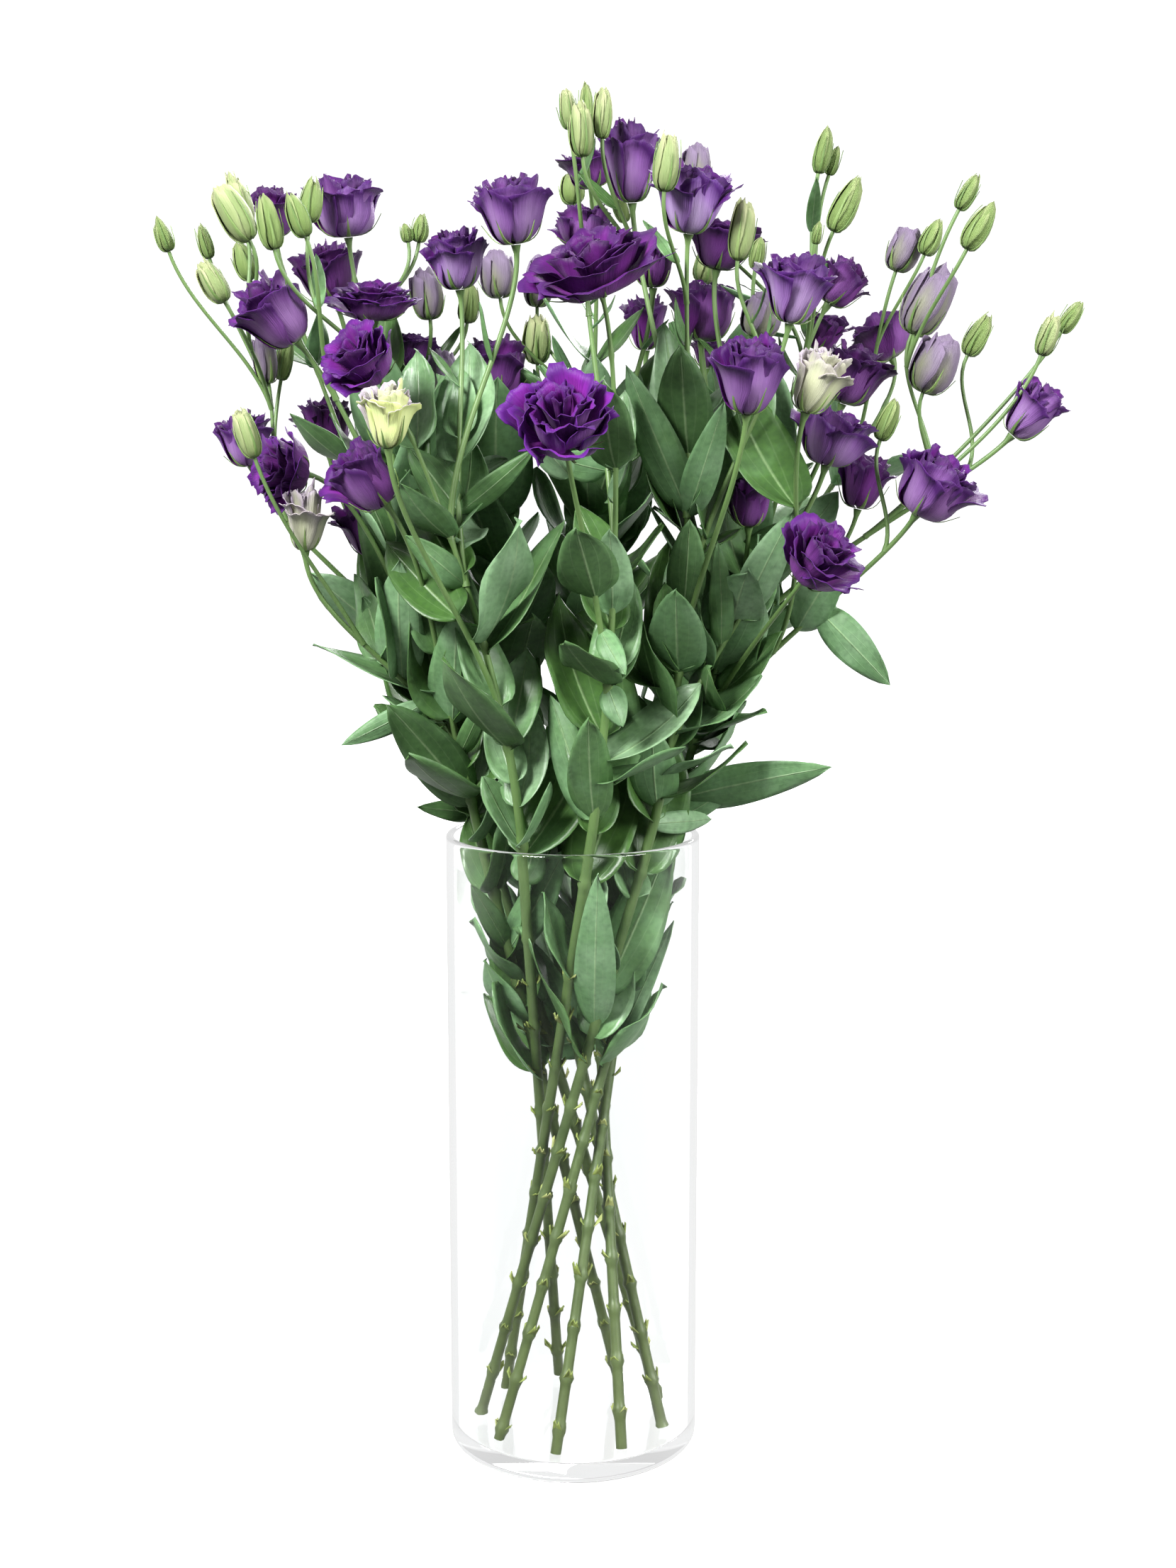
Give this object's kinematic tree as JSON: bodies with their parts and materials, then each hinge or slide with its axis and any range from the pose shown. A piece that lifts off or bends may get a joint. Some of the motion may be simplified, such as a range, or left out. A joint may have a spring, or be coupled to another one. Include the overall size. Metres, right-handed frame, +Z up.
{
  "type": "vase of lisianthus flowers",
  "caption": "Cut lisianthus stems with violet and cream blooms, closed buds and grey-green leaves, standing crossed in a tall clear glass cylinder vase",
  "frame": {"origin": "the middle of the vase's flat underside, on the surface it stands on", "axes": "+Z up along the vase's axis; the picture looks along +Y, with +X to the right"},
  "size_m": [0.5273, 0.3086, 0.801],
  "materials": {
    "vase_glass": "clear colourless glass, polished, with a thick floor and a rounded rim",
    "leaf_and_stem": "fresh grey-green leaves with a waxy bloom, olive stems, pale green buds",
    "violet_petal": "soft violet petals, lilac outside with fine darker veins and dark rims",
    "pale_petal": "soft cream to lime petals of the blooms that are still opening"
  },
  "bodies": {
    "root": {"vase": "vase_glass", "stem_1": "leaf_and_stem", "stem_2": "leaf_and_stem", "stem_3": "leaf_and_stem", "stem_4": "leaf_and_stem", "stem_5": "leaf_and_stem", "stem_6": "leaf_and_stem", "stem_7": "leaf_and_stem", "stem_8": "leaf_and_stem", "stem_9": "leaf_and_stem", "bloom_01": "violet_petal", "bloom_02": "violet_petal", "bloom_03": "violet_petal", "bloom_04": "violet_petal", "bloom_05": "violet_petal", "bloom_06": "violet_petal", "bloom_07": "violet_petal", "bloom_08": "violet_petal", "bloom_09": "violet_petal", "bloom_10": "violet_petal", "bloom_11": "violet_petal", "bloom_12": "violet_petal", "bloom_13": "violet_petal", "bloom_14": "violet_petal", "bloom_15": "violet_petal", "bloom_16": "violet_petal", "bloom_17": "violet_petal", "bloom_18": "violet_petal", "bloom_19": "violet_petal", "bloom_20": "violet_petal", "bloom_21": "violet_petal", "bloom_22": "violet_petal", "bloom_23": "violet_petal", "bloom_24": "violet_petal", "bloom_25": "violet_petal", "bloom_26": "violet_petal", "bloom_27": "violet_petal", "bloom_28": "violet_petal", "bloom_29": "violet_petal", "bloom_30": "violet_petal", "bloom_31": "violet_petal", "bloom_32": "violet_petal", "bloom_33": "violet_petal", "bloom_34": "violet_petal", "bloom_35": "violet_petal", "bloom_36": "violet_petal", "bloom_37": "violet_petal", "bloom_38": "violet_petal", "bloom_39": "violet_petal", "pale_bloom_1": "pale_petal", "pale_bloom_2": "pale_petal", "pale_bloom_3": "pale_petal"}
  },
  "joints": []
}
